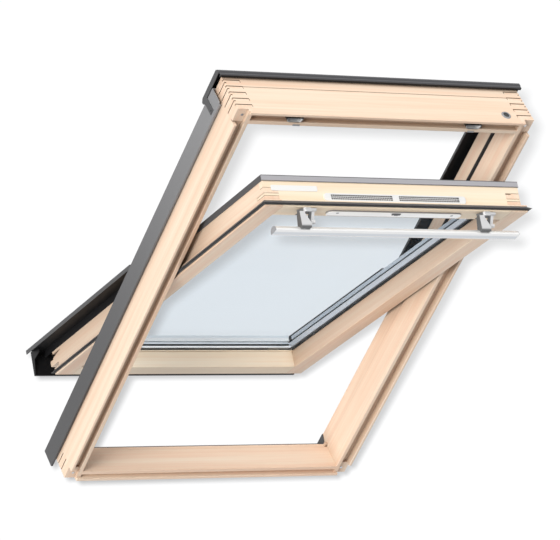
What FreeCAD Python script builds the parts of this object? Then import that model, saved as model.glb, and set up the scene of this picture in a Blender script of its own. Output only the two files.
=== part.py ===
import FreeCAD, Part
import math
import os

# Timber centre pivot roof window, standing open as in use.
# Millimetres. X runs across the window, Z up the slope, Y through it: the room is at -Y.
# The origin lies on the sill's lower face, below the room side of the corner blocks.

V = FreeCAD.Vector

# General
SHEET = 1.5
FIT_GAP = 0.3
EDGE_ROUNDING = 1.6
END_ROUNDING = 1.2
OVERCUT = 1.0

# Frame, driving sizes
FRAME_WIDTH = 780.0
FRAME_HEIGHT = 1180.0
FRAME_DEPTH = 105.0
JAMB_THICKNESS = 37.5
HEAD_THICKNESS = 38.0
SILL_THICKNESS = 27.0
SILL_DEPTH = 78.0

# Lining groove on the room side of every frame member
LIP_THICKNESS = 7.5
LIP_REACH = 13.0
INNER_STRIP_WIDTH = 10.5
INNER_STRIP_REACH = 7.0
GROOVE_DEPTH = 6.0

# Corner blocks and their comb joints
BLOCK_WIDTH = 28.0
BLOCK_HEIGHT = 36.0
FINGER_COUNT = 5
FINGER_THICKNESS = 9.0
FINGER_PITCH = 20.0
FIRST_FINGER = 7.0
KERF_WIDTH = 3.0
THIN_KERF = 1.6
KERF_DEPTH = 5.0
KERF_LENGTH = 42.0
SIDE_KERF_LENGTH = 38.0
HEAD_SEAM_FROM_OUTSIDE = 32.0

# Stops of the jambs: a raised strip above the pivot, a rebate below it
STOP_START = 66.0
STOP_RISE = 2.5
REBATE_START = 61.0
REBATE_DEPTH = 7.5
GASKET_SLOT_WIDTH = 10.0
GASKET_SLOT_DEPTH = 4.0
JAMB_GASKET_RISE = 6.0
JAMB_GASKET_FLANK = 4.0

# Pivot
PIVOT_DROP = 2.0
PIVOT_DEPTH = 91.0
OPENING_ANGLE = 24.55
PIVOT_PIN_RADIUS = 6.0
PIVOT_PLATE_LENGTH = 120.0
PIVOT_PLATE_WIDTH = 22.0
PIVOT_PLATE_THICKNESS = 3.0

# Sash, closed position, measured from the pivot axis
SASH_SIDE_GAP = 7.5
SASH_END_GAPS = 32.0
SASH_ROOM_FACE = -51.0
SASH_OUTER_FACE = 14.0
SASH_RAIL_WIDTH = 45.5
SASH_END_RAIL_WIDTH = 49.5
SASH_STEP = 9.0
SASH_LIP = 4.5
SEAL_GROOVE_WIDTH = 9.0
SEAL_GROOVE_DEPTH = 6.0
SEAL_FIN = 3.5
SEAL_FLARE = 8.0
SEAL_LEAN = 6.0
SEAL_WALL = 1.8

# Foot of the sash rails, longer than the lip, with a wedge cut at both sides
FOOT_LENGTH = 32.0
FOOT_NEAR = -20.0
WEDGE_NEAR = -6.0
WEDGE_FAR = 6.5
WEDGE_LENGTH = 62.0

# Comb joint at the sash's upper corners: depths of the top rail's two fingers
SASH_FINGERS = ((-23.0, -15.5, 33.5), (-3.5, SASH_OUTER_FACE, 15.5))
SASH_KERF = 1.2

# Sealed glass unit
GLASS_ROOM_FACE = -6.0
PANE_THICKNESS = 4.0
GLASS_GAP = 14.0
GLASS_EDGE_COVER = 13.0
SPACER_INSET = 4.0
SPACER_SIGHT = 7.0
ROOM_SEAL_WIDTH = 3.0
ROOM_SEAL_THICKNESS = 3.0
OUTER_SEAL_SIGHT = 3.5

# Sheet metal covers
COVER_TOP = 31.0
CLADDING_TOP = 26.5
COVER_INSET = 4.0
COVER_FLANGE = 10.0
COVER_OVERHANG = 26.5
COVER_HEM = 6.0
COVER_PIVOT_GAP = 20.0
CLADDING_LAP = 1.2
SIDE_CLEARANCE = 8.0
CLADDING_FLANGE = 48.0
CLADDING_HEM = 5.0
CLADDING_DROP = 21.0
CLADDING_HEAD_GAP = 36.0
CLADDING_TOP_WIDTH = 30.0
CLADDING_CHAMFER = 6.0
HOOD_LENGTH = 92.0
HOOD_FRONT_GAP = 10.0
HOOD_FRONT_FLANGE = 23.0
HOOD_FOLD = 6.0
HOOD_SIDE_FLANGE = 14.0
HOOD_TAB_TOP = 76.0
HOOD_TAB_LOW = 91.0
HOOD_TAB_REACH = 54.0
HOOD_WEB_GAP = 6.0
SILL_COVER_DROP = 8.0
SILL_UPSTAND_LOW = 17.5
BOTTOM_COVER_LAP = 70.5
BOTTOM_COVER_INSET = 20.0
BOTTOM_COVER_FLANGE = 62.0
LOWER_COVER_SHORT = 15.0

# Control bar: flat towards the room, round behind
BAR_MARGIN = 25.0
BAR_HALF_WIDTH = 12.5
BAR_DEPTH = 14.0
BAR_FLAT = -102.0
BAR_DROP = 26.1
BAR_TILT = 8.0
BAR_END_EASE = 0.8

# Bar brackets: a slanted base, a leg that widens into a foot on the bar, and a lever
BRACKET_INSET = 109.5
BRACKET_WIDTH = 43.0
BRACKET_BASE = 9.0
BRACKET_BASE_SLANT = 14.0
BRACKET_BASE_WIDTH = 29.0
BRACKET_RISE = 6.6
BRACKET_LEG_WIDTH = 13.0
BRACKET_LEG_RISE = 15.0
BRACKET_FOOT_WIDTH = 25.0
BRACKET_FOOT_REACH = 5.5
BRACKET_FOOT_THICKNESS = 10.0
BRACKET_WEB = 22.0
LEVER_START = 24.0
LEVER_WIDTH = 14.0
LEVER_RADIUS = 3.8
LEVER_STEM = 5.6
LEVER_HINGE_OUT = 4.2
LEVER_HINGE_DROP = 4.4
LEVER_REACH = 24.0
LEVER_FALL = 14.0
HINGE_OVERHANG = 10.0
KNOB_RADIUS = 4.6
KNOB_OVERHANG = 3.5

# Lock case, ventilation grille and plate
LOCK_MARGIN = 169.0
LOCK_WIDTH = 24.0
LOCK_THICKNESS = 4.0
GRILLE_MARGIN = 159.5
GRILLE_WIDTH = 18.0
GRILLE_HEIGHT = 3.0
GRILLE_NEAR = -32.0
GRILLE_EDGE = 3.2
GRILLE_END = 17.0
GRILLE_BRIDGE = 17.0
GRILLE_CORNER = 6.0
SLAT_WIDTH = 1.4
SLAT_COUNT = 2
PLATE_LENGTH = 118.0
PLATE_WIDTH = 13.0
PLATE_THICKNESS = 0.8
PLATE_INSET = 87.0
PLATE_MIDDLE = -3.5
PLATE_CORNER = 3.0
PILOT_HOLE_INSET = 25.0
PILOT_HOLE_MIDDLE = -4.7
PILOT_HOLE_RADIUS = 2.0
PILOT_HOLE_DEPTH = 8.0

# Head furniture
STRIKER_LEFT_INSET = 149.0
STRIKER_RIGHT_INSET = 161.0
STRIKER_LENGTH = 42.0
STRIKER_HEIGHT = 13.0
STRIKER_CORNER = 11.0
STRIKER_WALL = 1.6
STRIKER_PROUD = 8.0
PLUG_INSET = 70.7
PLUG_DEPTH = 13.5
PLUG_RADIUS = 12.0
PLUG_BORE = 7.5
PLUG_HEIGHT = 1.6
PLUG_FLOOR = 0.4
SCREW_EDGE = 17.0
SCREW_RADIUS = 3.2
SCREW_HEIGHT = 0.8

# Derived sizes
HALF_WIDTH = FRAME_WIDTH / 2
INNER_HALF = HALF_WIDTH - JAMB_THICKNESS
HEAD_UNDERSIDE = FRAME_HEIGHT - HEAD_THICKNESS
PIVOT_HEIGHT = FRAME_HEIGHT / 2 - PIVOT_DROP
COVER_HALF_WIDTH = HALF_WIDTH - COVER_INSET
COVER_INNER_EDGE = INNER_HALF - COVER_OVERHANG
SASH_HALF = INNER_HALF - SASH_SIDE_GAP
SASH_TOP = (HEAD_UNDERSIDE - SILL_THICKNESS - SASH_END_GAPS) / 2
LIP_BACK = SASH_ROOM_FACE + SASH_LIP
FIN_FRONT = LIP_BACK + SEAL_GROOVE_WIDTH
FIN_BACK = FIN_FRONT + SEAL_FIN
SASH_BODY_HALF = SASH_HALF - SASH_STEP
SASH_BODY_TOP = SASH_TOP - SASH_STEP
SIGHT_HALF_X = SASH_HALF - SASH_RAIL_WIDTH
SIGHT_HALF_Z = SASH_TOP - SASH_END_RAIL_WIDTH
GLASS_OUTER_FACE = GLASS_ROOM_FACE + 2 * PANE_THICKNESS + GLASS_GAP
COVER_UNDERSIDE = COVER_TOP - SHEET
CLADDING_UNDERSIDE = CLADDING_TOP - SHEET
COVER_DEPTH = PIVOT_DEPTH + COVER_TOP
BOTTOM_COVER_REACH = SASH_TOP + BOTTOM_COVER_LAP
BAR_HEIGHT = SASH_TOP - BAR_DROP
BRACKET_CENTRE = SASH_HALF - BRACKET_INSET


# Shapes
def outline(points, to_vector, radius=0.0):
    """Closed face through 2D points, with convex corners rounded by tangent arcs."""
    count = len(points)
    area = sum(
        points[i][0] * points[(i + 1) % count][1] - points[(i + 1) % count][0] * points[i][1]
        for i in range(count))
    starts, ends, middles = [], [], []
    for i in range(count):
        before, here, after = points[i - 1], points[i], points[(i + 1) % count]
        into = (before[0] - here[0], before[1] - here[1])
        away = (after[0] - here[0], after[1] - here[1])
        turn = (away[0] * into[1] - away[1] * into[0]) * area
        if radius <= 0 or turn <= 0:
            starts.append(here)
            ends.append(here)
            middles.append(None)
            continue
        length_in, length_out = math.hypot(*into), math.hypot(*away)
        u = (into[0] / length_in, into[1] / length_in)
        w = (away[0] / length_out, away[1] / length_out)
        half = math.acos(max(-1.0, min(1.0, u[0] * w[0] + u[1] * w[1]))) / 2
        setback = radius / math.tan(half)
        middle = (u[0] + w[0], u[1] + w[1])
        size = math.hypot(*middle)
        reach = radius / math.sin(half) - radius
        starts.append((here[0] + u[0] * setback, here[1] + u[1] * setback))
        ends.append((here[0] + w[0] * setback, here[1] + w[1] * setback))
        middles.append((here[0] + middle[0] / size * reach, here[1] + middle[1] / size * reach))
    edges = []
    for i in range(count):
        if middles[i] is not None:
            arc = Part.Arc(to_vector(*starts[i]), to_vector(*middles[i]), to_vector(*ends[i]))
            edges.append(arc.toShape())
        after = starts[(i + 1) % count]
        if math.hypot(after[0] - ends[i][0], after[1] - ends[i][1]) > 1e-6:
            edges.append(Part.LineSegment(to_vector(*ends[i]), to_vector(*after)).toShape())
    return Part.Face(Part.Wire(edges))


def bar_up(points, z_low, z_high, radius=0.0):
    """Profile of (x, y) points, extruded up the slope."""
    face = outline(points, lambda x, y: V(x, y, z_low), radius)
    return face.extrude(V(0, 0, z_high - z_low))


def bar_across(points, x_low, x_high, radius=0.0):
    """Profile of (y, z) points, extruded across the window."""
    face = outline(points, lambda y, z: V(x_low, y, z), radius)
    return face.extrude(V(x_high - x_low, 0, 0))


def plate(points, y_low, y_high, radius=0.0):
    """Outline of (x, z) points, extruded through the window."""
    face = outline(points, lambda x, z: V(x, y_low, z), radius)
    return face.extrude(V(0, y_high - y_low, 0))


def tile(points, z_low, z_high, radius=0.0):
    """Outline of (x, y) points that lies on an upper face."""
    return bar_up(points, z_low, z_high, radius)


def rectangle(a_low, a_high, b_low, b_high):
    """Corners of a rectangle."""
    return [(a_low, b_low), (a_high, b_low), (a_high, b_high), (a_low, b_high)]


def box(x0, x1, y0, y1, z0, z1):
    """Box between two corners."""
    return Part.makeBox(x1 - x0, y1 - y0, z1 - z0, V(x0, y0, z0))


def slab(half_x, half_z, y0, y1):
    """Box centred on the sash."""
    return box(-half_x, half_x, y0, y1, -half_z, half_z)


def rod(start, end, radius):
    """Round rod between two points."""
    along = end - start
    return Part.makeCylinder(radius, along.Length, start, along)


def mirrored(shape):
    """The same piece on the other side of the window."""
    return shape.mirror(V(0, 0, 0), V(1, 0, 0))


def both(shape):
    """A piece and its mirror image."""
    return [shape, mirrored(shape)]


def opened(shape):
    """A piece of the sash, turned from the closed position to the open one."""
    turned = shape.copy()
    turned.translate(V(0, PIVOT_DEPTH, PIVOT_HEIGHT))
    turned.rotate(V(0, PIVOT_DEPTH, PIVOT_HEIGHT), V(1, 0, 0), OPENING_ANGLE)
    return turned


def fused(shapes):
    """One solid from pieces that touch."""
    result = shapes[0]
    for shape in shapes[1:]:
        result = result.fuse(shape)
    return result.removeSplitter()


def cut_all(shape, tools):
    """A shape less every tool."""
    for tool in tools:
        shape = shape.cut(tool)
    return shape


# Frame members
def member_section(thickness, depth, step_start=None, step=0.0):
    """Profile of a frame member as (distance from its outer face, y)."""
    strip = thickness - INNER_STRIP_WIDTH
    points = [
        (0.0, -LIP_REACH),
        (LIP_THICKNESS, -LIP_REACH),
        (LIP_THICKNESS, GROOVE_DEPTH),
        (strip, GROOVE_DEPTH),
        (strip, -INNER_STRIP_REACH),
        (thickness, -INNER_STRIP_REACH),
    ]
    if step_start is not None:
        points += [(thickness, step_start), (thickness - step, step_start)]
    points += [(thickness - step, depth), (0.0, depth)]
    return points


def finger_levels():
    """Depths of the near and far flank of each jamb finger."""
    lows = [FIRST_FINGER + FINGER_PITCH * i for i in range(FINGER_COUNT)]
    return [(low, low + FINGER_THICKNESS) for low in lows]


def corner_share(z_low, z_high, z_block_low, z_block_high, depth):
    """What the left jamb owns of a corner: its block, strip end and fingers."""
    strip_edge = -INNER_HALF - INNER_STRIP_WIDTH
    block_edge = -HALF_WIDTH + BLOCK_WIDTH
    pieces = [box(-HALF_WIDTH, block_edge, 0, FIRST_FINGER, z_block_low, z_block_high)]
    pieces += [box(strip_edge, -INNER_HALF, -INNER_STRIP_REACH, FIRST_FINGER, z_low, z_high)]
    for low, high in finger_levels():
        if high < depth:
            pieces += [box(-HALF_WIDTH, -INNER_HALF, low, high, z_low, z_high)]
    return pieces


def lip_end(z_low, z_high, depth):
    """Room left at a corner for the block, where the lips stop."""
    return box(-HALF_WIDTH - OVERCUT, -HALF_WIDTH + BLOCK_WIDTH, -LIP_REACH - OVERCUT, depth,
               z_low, z_high)


def jamb_left():
    """Left jamb: stop strip above the pivot, rebate below it, fingers at both ends."""
    lower = member_section(JAMB_THICKNESS, FRAME_DEPTH, REBATE_START, REBATE_DEPTH)
    upper = member_section(JAMB_THICKNESS, FRAME_DEPTH, STOP_START, -STOP_RISE)
    runs = []
    halves = ((lower, SILL_THICKNESS, PIVOT_HEIGHT), (upper, PIVOT_HEIGHT, HEAD_UNDERSIDE))
    for section, low, high in halves:
        points = [(-HALF_WIDTH + distance, y) for distance, y in section]
        runs.append(bar_up(points, low, high, EDGE_ROUNDING))
    slot = box(-INNER_HALF - GASKET_SLOT_DEPTH, -INNER_HALF + 2 * STOP_RISE,
               STOP_START - GASKET_SLOT_WIDTH, STOP_START, PIVOT_HEIGHT, HEAD_UNDERSIDE)
    body = fused([runs[0], runs[1].cut(slot)])
    top_block = (FRAME_HEIGHT - BLOCK_HEIGHT, FRAME_HEIGHT)
    body = cut_all(body, [lip_end(0, BLOCK_HEIGHT, 0), lip_end(*top_block, 0)])
    top = corner_share(HEAD_UNDERSIDE, FRAME_HEIGHT, *top_block, FRAME_DEPTH)
    bottom = corner_share(0.0, SILL_THICKNESS, 0.0, BLOCK_HEIGHT, SILL_DEPTH)
    tail = box(-HALF_WIDTH, -INNER_HALF - REBATE_DEPTH, SILL_DEPTH, FRAME_DEPTH, 0, SILL_THICKNESS)
    return cut_all(fused([body] + top + bottom + [tail]), side_kerfs() + head_kerfs())


def side_kerfs():
    """Open glue lines of the comb joints on the outer side of the left jamb."""
    outer = -HALF_WIDTH
    kerfs = []
    for low, _ in finger_levels()[1:]:
        near = low - KERF_WIDTH
        top_start = FRAME_HEIGHT - SIDE_KERF_LENGTH
        for z_low, z_high in ((top_start, FRAME_HEIGHT + OVERCUT), (-OVERCUT, SIDE_KERF_LENGTH)):
            kerfs += [box(outer - OVERCUT, outer + KERF_DEPTH, near, low, z_low, z_high)]
    return kerfs


def head():
    """Head of the frame, with fingers that fill the gaps between the jambs' fingers."""
    section = member_section(HEAD_THICKNESS, FRAME_DEPTH)
    points = [(y, FRAME_HEIGHT - distance) for distance, y in section]
    bar = bar_across(points, -HALF_WIDTH, HALF_WIDTH, EDGE_ROUNDING)
    block_low = FRAME_HEIGHT - BLOCK_HEIGHT
    left = corner_share(HEAD_UNDERSIDE, FRAME_HEIGHT, block_low, FRAME_HEIGHT, FRAME_DEPTH)
    left += [lip_end(HEAD_UNDERSIDE - OVERCUT, FRAME_HEIGHT + OVERCUT, FIRST_FINGER)]
    left += side_kerfs()
    return cut_all(bar, left + [mirrored(piece) for piece in left] + head_kerfs())


def head_kerfs():
    """Glue lines on top of the head: finger flanks and ends, and the seam along it."""
    low, high = FRAME_HEIGHT - KERF_DEPTH, FRAME_HEIGHT + OVERCUT
    inner_end = -HALF_WIDTH + KERF_LENGTH
    kerfs = []
    for near, far in finger_levels():
        kerfs += both(box(-HALF_WIDTH - OVERCUT, inner_end, far - KERF_WIDTH, far, low, high))
        kerfs += both(box(inner_end - THIN_KERF, inner_end, near, far, low, high))
    seam = FRAME_DEPTH - HEAD_SEAM_FROM_OUTSIDE
    kerfs += [box(inner_end, -inner_end, seam, seam + THIN_KERF, low, high)]
    return kerfs


def sill():
    """Sill of the frame, shallower than the head so that rain runs off outside it."""
    section = member_section(SILL_THICKNESS, SILL_DEPTH, REBATE_START, REBATE_DEPTH)
    points = [(y, distance) for distance, y in section]
    bar = bar_across(points, -HALF_WIDTH, HALF_WIDTH, EDGE_ROUNDING)
    left = corner_share(0, SILL_THICKNESS, 0, BLOCK_HEIGHT, SILL_DEPTH)
    left += [lip_end(-OVERCUT, SILL_THICKNESS + OVERCUT, FIRST_FINGER)]
    left += side_kerfs()
    return cut_all(bar, left + [mirrored(piece) for piece in left])


def jamb_gasket_left():
    """Rubber gasket in the left jamb's slot, from the pivot to the head."""
    root = -INNER_HALF - GASKET_SLOT_DEPTH + FIT_GAP
    near = STOP_START - GASKET_SLOT_WIDTH + FIT_GAP
    far = STOP_START - FIT_GAP
    tip = -INNER_HALF + JAMB_GASKET_RISE
    shoulder = tip - JAMB_GASKET_FLANK
    points = [
        (root, near),
        (shoulder, near + JAMB_GASKET_FLANK / 2),
        (tip, near + JAMB_GASKET_FLANK),
        (shoulder, (near + far) / 2 + JAMB_GASKET_FLANK / 2),
        (shoulder, far),
        (root, far),
    ]
    low = PIVOT_HEIGHT + PIVOT_PLATE_LENGTH / 2 + FIT_GAP
    return bar_up(points, low, HEAD_UNDERSIDE - FIT_GAP)


# Fixed covers
def side_cladding_left():
    """Angle over the left jamb's outer corner, hemmed at its room edge."""
    outer = -HALF_WIDTH - SIDE_CLEARANCE
    near = FRAME_DEPTH - CLADDING_FLANGE
    points = [
        (outer, near),
        (outer + CLADDING_HEM, near),
        (outer + CLADDING_HEM, near + SHEET),
        (outer + SHEET, near + SHEET),
        (outer + SHEET, FRAME_DEPTH),
        (outer + CLADDING_TOP_WIDTH, FRAME_DEPTH),
        (outer + CLADDING_TOP_WIDTH, FRAME_DEPTH + SHEET),
        (outer, FRAME_DEPTH + SHEET),
    ]
    top = FRAME_HEIGHT - CLADDING_HEAD_GAP
    angle = bar_up(points, -CLADDING_DROP, top)
    corner = [
        (near - OVERCUT, top - CLADDING_CHAMFER),
        (near, top - CLADDING_CHAMFER),
        (near + CLADDING_CHAMFER, top),
        (near + CLADDING_CHAMFER, top + OVERCUT),
        (near - OVERCUT, top + OVERCUT),
    ]
    return angle.cut(bar_across(corner, outer - OVERCUT, outer + CLADDING_HEM + OVERCUT))


def upper_cover_left():
    """Channel over the left jamb from the pivot to the hood, hemmed at its inner edge."""
    outer, inner = -COVER_HALF_WIDTH, -COVER_INNER_EDGE
    base = FRAME_DEPTH + SHEET
    points = [
        (outer, base),
        (outer + SHEET, base),
        (outer + SHEET, COVER_DEPTH - SHEET),
        (inner - SHEET, COVER_DEPTH - SHEET),
        (inner - SHEET, COVER_DEPTH - COVER_HEM),
        (inner, COVER_DEPTH - COVER_HEM),
        (inner, COVER_DEPTH),
        (outer, COVER_DEPTH),
    ]
    high = FRAME_HEIGHT + HOOD_FRONT_GAP - HOOD_LENGTH - FIT_GAP
    return bar_up(points, PIVOT_HEIGHT + COVER_PIVOT_GAP, high)


def hood():
    """Hood over the head: folded sheet with side flanges and clip tabs."""
    front = FRAME_HEIGHT + HOOD_FRONT_GAP
    back = front - HOOD_LENGTH
    half = HALF_WIDTH + SIDE_CLEARANCE
    low = COVER_DEPTH - HOOD_FRONT_FLANGE
    inner_fold = HOOD_FOLD - SHEET / 2
    sheet = [
        (COVER_DEPTH - SHEET, back),
        (COVER_DEPTH, back),
        (COVER_DEPTH, front - HOOD_FOLD),
        (COVER_DEPTH - HOOD_FOLD, front),
        (low, front),
        (low, front - COVER_HEM),
        (low + SHEET, front - COVER_HEM),
        (low + SHEET, front - SHEET),
        (COVER_DEPTH - SHEET - inner_fold, front - SHEET),
        (COVER_DEPTH - SHEET, front - SHEET - inner_fold),
    ]
    side = COVER_DEPTH - HOOD_SIDE_FLANGE
    tab_high, tab_low = front - HOOD_TAB_TOP, front - HOOD_TAB_LOW
    flange = [
        (COVER_DEPTH, back + SHEET),
        (COVER_DEPTH, front - HOOD_FOLD),
        (COVER_DEPTH - HOOD_FOLD, front),
        (side, front),
        (side, tab_high),
        (COVER_DEPTH - HOOD_TAB_REACH, tab_high),
        (COVER_DEPTH - HOOD_TAB_REACH, tab_low),
        (side - HOOD_FOLD, tab_low),
        (side + HOOD_FOLD / 2, back - HOOD_FOLD),
        (COVER_DEPTH - HOOD_FOLD, back - HOOD_FOLD),
    ]
    web_high = FRAME_HEIGHT - HOOD_WEB_GAP
    web = box(-INNER_HALF, INNER_HALF, FRAME_DEPTH, COVER_DEPTH, web_high - SHEET, web_high)
    pieces = [bar_across(sheet, -half, half), web]
    pieces += both(bar_across(flange, -half - SHEET, -half))
    return fused(pieces)


def sill_cladding():
    """Gutter sheet outside the sill, with an upstand against each jamb."""
    half = INNER_HALF + REBATE_DEPTH - FIT_GAP
    floor = -SILL_COVER_DROP
    back = box(-half, half, SILL_DEPTH, SILL_DEPTH + SHEET, floor - SHEET, SILL_THICKNESS / 2)
    base = box(-half, half, SILL_DEPTH, FRAME_DEPTH, floor - SHEET, floor)
    front = box(-half, half, FRAME_DEPTH - SHEET, FRAME_DEPTH, -CLADDING_DROP, floor)
    upstand = [
        (SILL_DEPTH, floor),
        (FRAME_DEPTH, floor),
        (FRAME_DEPTH, SILL_THICKNESS),
        (FRAME_DEPTH - 2 * SHEET, SILL_THICKNESS),
        (SILL_DEPTH + SHEET, SILL_UPSTAND_LOW),
    ]
    return fused([back, base, front] + both(bar_across(upstand, -half, -half + SHEET)))


# Sash timber
def sash_section(width):
    """Profile of a sash rail as (distance from the lip's outer edge, y)."""
    bed = width - GLASS_EDGE_COVER - OVERCUT
    return [
        (0.0, SASH_ROOM_FACE),
        (width, SASH_ROOM_FACE),
        (width, GLASS_ROOM_FACE),
        (bed, GLASS_ROOM_FACE),
        (bed, SASH_OUTER_FACE),
        (SASH_STEP, SASH_OUTER_FACE),
        (SASH_STEP, FIN_BACK),
        (0.0, FIN_BACK),
        (0.0, FIN_FRONT),
        (SEAL_GROOVE_DEPTH, FIN_FRONT),
        (SEAL_GROOVE_DEPTH, LIP_BACK),
        (0.0, LIP_BACK),
    ]


def sash_envelope():
    """Side view of the sash's timber, which shapes the ends of its side rails."""
    upper = [
        (SASH_ROOM_FACE, SASH_TOP),
        (LIP_BACK, SASH_TOP),
        (LIP_BACK, SASH_TOP - SEAL_GROOVE_DEPTH),
        (FIN_FRONT, SASH_TOP - SEAL_GROOVE_DEPTH),
        (FIN_FRONT, SASH_TOP),
        (FIN_BACK, SASH_TOP),
        (FIN_BACK, SASH_BODY_TOP),
        (SASH_OUTER_FACE, SASH_BODY_TOP),
    ]
    lower = [(y, -z) for y, z in reversed(upper)]
    return bar_across(upper + lower, -SASH_HALF - OVERCUT, -SIGHT_HALF_X + OVERCUT, END_ROUNDING)


def sash_fingers_left():
    """Fingers of the top rail in the upper left corner."""
    return [
        box(-SASH_BODY_HALF, -SIGHT_HALF_X, near, far, SASH_BODY_TOP - length, SASH_BODY_TOP)
        for near, far, length in SASH_FINGERS
    ]


def sash_kerfs_left():
    """Glue lines of the upper left corner, on its side and top."""
    kerfs = []
    for near, far, length in SASH_FINGERS:
        low = SASH_BODY_TOP - length
        side, top = -SASH_BODY_HALF, SASH_BODY_TOP
        for y in (near, far - SASH_KERF):
            kerfs += [box(side - OVERCUT, side + SASH_KERF, y, y + SASH_KERF, low, top)]
            kerfs += [box(side, -SIGHT_HALF_X, y, y + SASH_KERF, top - SASH_KERF, top + OVERCUT)]
        kerfs += [box(side - OVERCUT, side + SASH_KERF, near, far, low, low + SASH_KERF)]
    return [kerf for kerf in kerfs if kerf.BoundBox.YMax < SASH_OUTER_FACE - SASH_KERF]


def sash_side_left():
    """Left rail of the sash over its full height, with its wedge-cut foot."""
    points = [(-SASH_HALF + distance, y) for distance, y in sash_section(SASH_RAIL_WIDTH)]
    blank = bar_up(points, -SASH_TOP - OVERCUT, SASH_TOP + OVERCUT, EDGE_ROUNDING)
    rail = blank.common(sash_envelope())
    outer = -SASH_BODY_HALF
    inner = -SIGHT_HALF_X - GLASS_EDGE_COVER - OVERCUT
    foot_low = -SASH_TOP - FOOT_LENGTH
    middle = (foot_low - SASH_TOP) / 2
    foot = fused([
        box(outer, inner, FOOT_NEAR, WEDGE_NEAR, foot_low, -SASH_BODY_TOP + SASH_STEP),
        box(outer, inner, WEDGE_NEAR, SASH_OUTER_FACE, middle, -SASH_BODY_TOP + SASH_STEP),
    ])
    wedge = bar_across(
        [(WEDGE_NEAR, foot_low), (WEDGE_FAR, foot_low), (WEDGE_FAR, foot_low + WEDGE_LENGTH)],
        outer - OVERCUT, inner + OVERCUT)
    return cut_all(fused([rail, foot]), [wedge] + sash_fingers_left() + sash_kerfs_left())


def sash_top_rail():
    """Top rail of the sash between the side rails, with its corner fingers."""
    points = [(y, SASH_TOP - distance) for distance, y in sash_section(SASH_END_RAIL_WIDTH)]
    rail = bar_across(points, -SIGHT_HALF_X, SIGHT_HALF_X, EDGE_ROUNDING)
    fingers = []
    for finger in sash_fingers_left():
        fingers += both(finger)
    kerfs = []
    for kerf in sash_kerfs_left():
        kerfs += both(kerf)
    pilot = Part.makeCylinder(PILOT_HOLE_RADIUS, PILOT_HOLE_DEPTH + OVERCUT,
                              V(SASH_BODY_HALF - PILOT_HOLE_INSET, PILOT_HOLE_MIDDLE,
                                SASH_BODY_TOP - PILOT_HOLE_DEPTH))
    return cut_all(fused([rail] + fingers), kerfs + [pilot])


def sash_bottom_rail():
    """Bottom rail of the sash between the side rails, with a longer foot."""
    points = [(y, -SASH_TOP + distance) for distance, y in sash_section(SASH_END_RAIL_WIDTH)]
    rail = bar_across(points, -SIGHT_HALF_X, SIGHT_HALF_X, EDGE_ROUNDING)
    foot = box(-SIGHT_HALF_X, SIGHT_HALF_X, FOOT_NEAR, SASH_OUTER_FACE,
               -SASH_TOP - FOOT_LENGTH, -SASH_BODY_TOP)
    return fused([rail, foot])


def frustum(half_x_0, half_z_0, y_0, half_x_1, half_z_1, y_1):
    """Solid between two rectangles centred on the sash."""
    wires = []
    for half_x, half_z, y in ((half_x_0, half_z_0, y_0), (half_x_1, half_z_1, y_1)):
        corners = [V(x, y, z) for x, z in rectangle(-half_x, half_x, -half_z, half_z)]
        wires.append(Part.makePolygon(corners + corners[:1]))
    return Part.makeLoft(wires, True, True)


def skirt_solid(shift):
    """Solid under the seal's skirt, which widens as it leans towards the room."""
    root = FIN_FRONT - FIT_GAP - SEAL_WALL / 2 - shift
    return frustum(SASH_HALF + SEAL_FLARE, SASH_TOP + SEAL_FLARE, root - SEAL_LEAN,
                   SASH_HALF, SASH_TOP, root)


def sash_gasket():
    """Rubber seal behind the sash lip: a root in the groove and a leaning skirt."""
    low, high = LIP_BACK + FIT_GAP, FIN_FRONT - FIT_GAP
    inset = SEAL_GROOVE_DEPTH - FIT_GAP
    root = slab(SASH_HALF, SASH_TOP, low, high)
    hole = slab(SASH_HALF - inset, SASH_TOP - inset, low - OVERCUT, high + OVERCUT)
    middle = slab(SASH_HALF - SEAL_WALL, SASH_TOP - SEAL_WALL, low - 2 * SEAL_LEAN, high + OVERCUT)
    skirt = skirt_solid(0.0).cut(skirt_solid(SEAL_WALL)).cut(middle)
    return fused([root.cut(hole), skirt])


# Glass
def pane(y_low):
    """One pane of the sealed unit."""
    return slab(SIGHT_HALF_X + GLASS_EDGE_COVER, SIGHT_HALF_Z + GLASS_EDGE_COVER,
                y_low, y_low + PANE_THICKNESS)


def frame_ring(outside, inside, y_low, y_high):
    """Rectangular ring at distances outside and inside the sash's sight line."""
    ring = slab(SIGHT_HALF_X + outside, SIGHT_HALF_Z + outside, y_low, y_high)
    hole = slab(SIGHT_HALF_X - inside, SIGHT_HALF_Z - inside, y_low - OVERCUT, y_high + OVERCUT)
    return ring.cut(hole)


def spacer():
    """Edge spacer between the panes."""
    low = GLASS_ROOM_FACE + PANE_THICKNESS
    return frame_ring(GLASS_EDGE_COVER - SPACER_INSET, SPACER_SIGHT, low, low + GLASS_GAP)


def room_seal():
    """Rubber strip between the rails and the inner pane."""
    near = GLASS_ROOM_FACE - ROOM_SEAL_THICKNESS
    return frame_ring(-FIT_GAP, ROOM_SEAL_WIDTH, near, GLASS_ROOM_FACE)


def outer_seal():
    """Rubber strip between the outer pane and the sash cladding."""
    return frame_ring(GLASS_EDGE_COVER, OUTER_SEAL_SIGHT, GLASS_OUTER_FACE, CLADDING_UNDERSIDE)


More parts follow.
